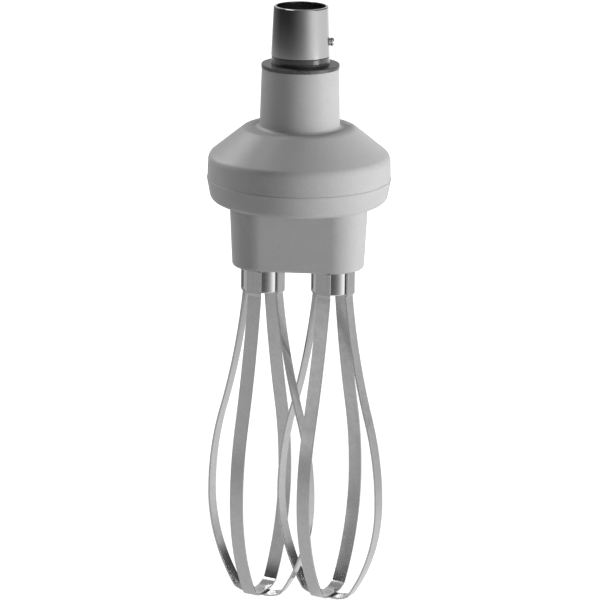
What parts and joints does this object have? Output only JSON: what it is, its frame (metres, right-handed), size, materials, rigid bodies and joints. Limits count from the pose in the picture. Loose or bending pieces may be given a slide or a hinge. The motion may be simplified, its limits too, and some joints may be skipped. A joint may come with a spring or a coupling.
{
  "type": "twin whisk attachment",
  "caption": "Twin-whisk attachment for a hand blender: a bayonet coupling tube, a round gearbox with an oval nose, and intermeshing flat-strip whisks.",
  "frame": {"origin": "centre of the coupling tube's mouth, on the input axis", "axes": "+Z along the input axis out of the tube's mouth, towards the motor unit; the whisks hang side by side along X, with the bayonet pin on +X; +Y is the back"},
  "size_m": [0.1014, 0.1014, 0.3406],
  "materials": {
    "satin_steel": "satin turned",
    "polished_steel": "polished",
    "strip_steel": "cold-rolled stainless strip",
    "dark_steel": "dark satin",
    "housing_grey": "fine mottled matte",
    "black_rubber": "satin",
    "bronze": "sintered",
    "gear_steel": "ground"
  },
  "bodies": {
    "housing": {"coupling_sleeve": "satin_steel", "bayonet_pin": "polished_steel", "seal_ring": "black_rubber", "retaining_collar": "dark_steel", "upper_housing": "housing_grey", "lower_housing": "housing_grey", "housing_gasket": "black_rubber", "housing_screws": "satin_steel", "gear_plate": "satin_steel", "input_bearing": "gear_steel", "input_bush": "bronze", "layshaft_upper_bush": "bronze", "layshaft_lower_bush": "bronze", "left_upper_bearing": "gear_steel", "left_lower_bearing": "gear_steel", "right_upper_bearing": "gear_steel", "right_lower_bearing": "gear_steel", "left_shaft_seal": "black_rubber", "right_shaft_seal": "black_rubber"},
    "input_drive": {"input_shaft": "satin_steel", "drive_coupling": "dark_steel", "input_pinion": "gear_steel", "input_circlip": "dark_steel"},
    "lay_gears": {"layshaft": "satin_steel", "layshaft_wheel": "gear_steel", "layshaft_pinion": "gear_steel"},
    "left_drive": {"left_spindle": "satin_steel", "left_output_gear": "gear_steel", "left_circlips": "dark_steel"},
    "right_drive": {"right_spindle": "satin_steel", "right_output_gear": "gear_steel", "right_circlips": "dark_steel"},
    "left_whisk": {"left_whisk_hub": "polished_steel", "left_outer_loop": "strip_steel", "left_inner_loop": "strip_steel", "left_snap_ring": "dark_steel"},
    "right_whisk": {"right_whisk_hub": "polished_steel", "right_outer_loop": "strip_steel", "right_inner_loop": "strip_steel", "right_snap_ring": "dark_steel"}
  },
  "joints": [
    {"name": "left_whisk_spin", "type": "hinge", "parent": "housing", "child": "left_drive", "pos_m": [-0.0195, 0, -0.12], "axis": [0, 0, 1], "continuous": true},
    {"name": "right_whisk_spin", "type": "hinge", "parent": "housing", "child": "right_drive", "pos_m": [0.0195, 0, -0.12], "axis": [0, 0, 1], "continuous": true},
    {"name": "layshaft_spin", "type": "hinge", "parent": "housing", "child": "lay_gears", "pos_m": [-0.00495, 0.02451, -0.09], "axis": [0, 0, 1], "continuous": true},
    {"name": "input_spin", "type": "hinge", "parent": "housing", "child": "input_drive", "pos_m": [0, 0, -0.06], "axis": [0, 0, 1], "continuous": true},
    {"name": "left_whisk_pull", "type": "slide", "parent": "left_drive", "child": "left_whisk", "axis": [0, 0, -1], "range_m": [0, 0.018]},
    {"name": "right_whisk_pull", "type": "slide", "parent": "right_drive", "child": "right_whisk", "axis": [0, 0, -1], "range_m": [0, 0.018]}
  ],
  "couplings": [
    {"joint": "right_whisk_spin", "follows": "left_whisk_spin", "ratio": -1},
    {"joint": "layshaft_spin", "follows": "left_whisk_spin", "ratio": -2.1667},
    {"joint": "input_spin", "follows": "left_whisk_spin", "ratio": 6.8611}
  ]
}
